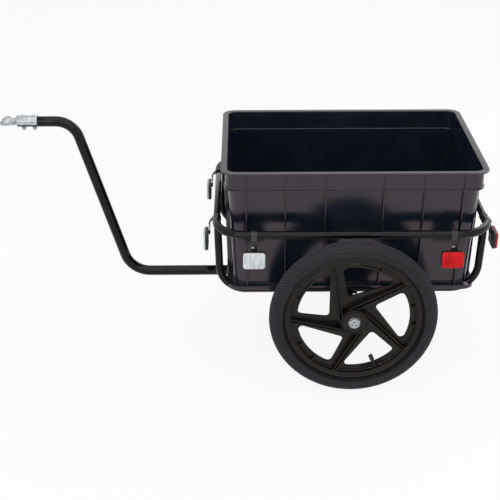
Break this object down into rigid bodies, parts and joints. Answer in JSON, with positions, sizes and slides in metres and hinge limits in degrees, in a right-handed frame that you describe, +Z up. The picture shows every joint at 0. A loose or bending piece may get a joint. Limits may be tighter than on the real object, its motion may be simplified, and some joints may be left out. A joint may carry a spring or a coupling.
{
  "type": "scooter trailer",
  "caption": "Cargo trailer: a lift-out plastic tub in a tube frame, moulded spoked wheels on a cross axle, a bent drawbar with a ball coupling, and clip-on reflectors.",
  "frame": {"origin": "on the ground under the middle of the overall length and width", "axes": "+X to the rear, so the drawbar points to -X; +Y to the trailer's right side; +Z up, with the tyres standing on Z = 0"},
  "size_m": [1.177, 0.6144, 0.5966],
  "materials": {
    "tub_plastic": "black moulded polypropylene, satin",
    "black_paint": "black powder coat, smooth and glossy",
    "rim_plastic": "dark grey glass-filled nylon, fine grain",
    "tyre_rubber": "dusty dark rubber with a block tread",
    "tube_rubber": "smooth butyl rubber",
    "zinc": "bright zinc plate",
    "bearing_steel": "ground steel",
    "dark_steel": "blackened steel",
    "trim_plastic": "black moulded plastic",
    "clear_lens": "clear prismatic acrylic",
    "red_lens": "red prismatic acrylic"
  },
  "bodies": {
    "frame": {"left_rail": "black_paint", "right_rail": "black_paint", "left_hoop": "black_paint", "right_hoop": "black_paint", "front_bar": "black_paint", "rear_bar": "black_paint", "front_cross_tube": "black_paint", "rear_cross_tube": "black_paint", "left_axle_stirrup": "black_paint", "right_axle_stirrup": "black_paint", "cross_axle": "bearing_steel", "left_axle_nut": "zinc", "right_axle_nut": "zinc", "left_hub_spacer": "bearing_steel", "right_hub_spacer": "bearing_steel", "drawbar": "black_paint", "front_drawbar_hanger": "black_paint", "rear_drawbar_hanger": "black_paint", "drawbar_end_plug": "trim_plastic", "ball_coupling": "zinc", "front_coupling_bolt": "zinc", "rear_coupling_bolt": "zinc", "front_coupling_nut": "dark_steel", "rear_coupling_nut": "dark_steel", "left_side_front_reflector_clip": "dark_steel", "left_side_front_reflector_housing": "trim_plastic", "left_side_front_reflector_lens": "clear_lens", "left_side_rear_reflector_clip": "dark_steel", "left_side_rear_reflector_housing": "trim_plastic", "left_side_rear_reflector_lens": "red_lens", "right_side_front_reflector_clip": "dark_steel", "right_side_front_reflector_housing": "trim_plastic", "right_side_front_reflector_lens": "clear_lens", "right_side_rear_reflector_clip": "dark_steel", "right_side_rear_reflector_housing": "trim_plastic", "right_side_rear_reflector_lens": "red_lens", "left_front_reflector_clip": "dark_steel", "left_front_reflector_housing": "trim_plastic", "left_front_reflector_lens": "clear_lens", "right_front_reflector_clip": "dark_steel", "right_front_reflector_housing": "trim_plastic", "right_front_reflector_lens": "clear_lens", "left_rear_reflector_clip": "dark_steel", "left_rear_reflector_housing": "trim_plastic", "left_rear_reflector_lens": "red_lens", "right_rear_reflector_clip": "dark_steel", "right_rear_reflector_housing": "trim_plastic", "right_rear_reflector_lens": "red_lens"},
    "tub": {"cargo_box": "tub_plastic"},
    "left_wheel": {"left_rim": "rim_plastic", "left_tyre": "tyre_rubber", "left_inner_tube": "tube_rubber", "left_inner_bearing": "bearing_steel", "left_outer_bearing": "bearing_steel"},
    "right_wheel": {"right_rim": "rim_plastic", "right_tyre": "tyre_rubber", "right_inner_tube": "tube_rubber", "right_inner_bearing": "bearing_steel", "right_outer_bearing": "bearing_steel"},
    "jaw": {"coupling_jaw": "dark_steel"}
  },
  "joints": [
    {"name": "tub_lift", "type": "slide", "parent": "frame", "child": "tub", "axis": [0, 0, 1], "range_m": [0, 0.3]},
    {"name": "left_wheel_spin", "type": "hinge", "parent": "frame", "child": "left_wheel", "pos_m": [0.24505, -0.2739, 0.196], "axis": [0, 1, 0], "continuous": true},
    {"name": "right_wheel_spin", "type": "hinge", "parent": "frame", "child": "right_wheel", "pos_m": [0.24505, 0.2739, 0.196], "axis": [0, 1, 0], "continuous": true},
    {"name": "jaw_pivot", "type": "hinge", "parent": "frame", "child": "jaw", "pos_m": [-0.55445, 0, 0.5815], "axis": [0, -1, 0], "range_deg": [0, 25]}
  ]
}
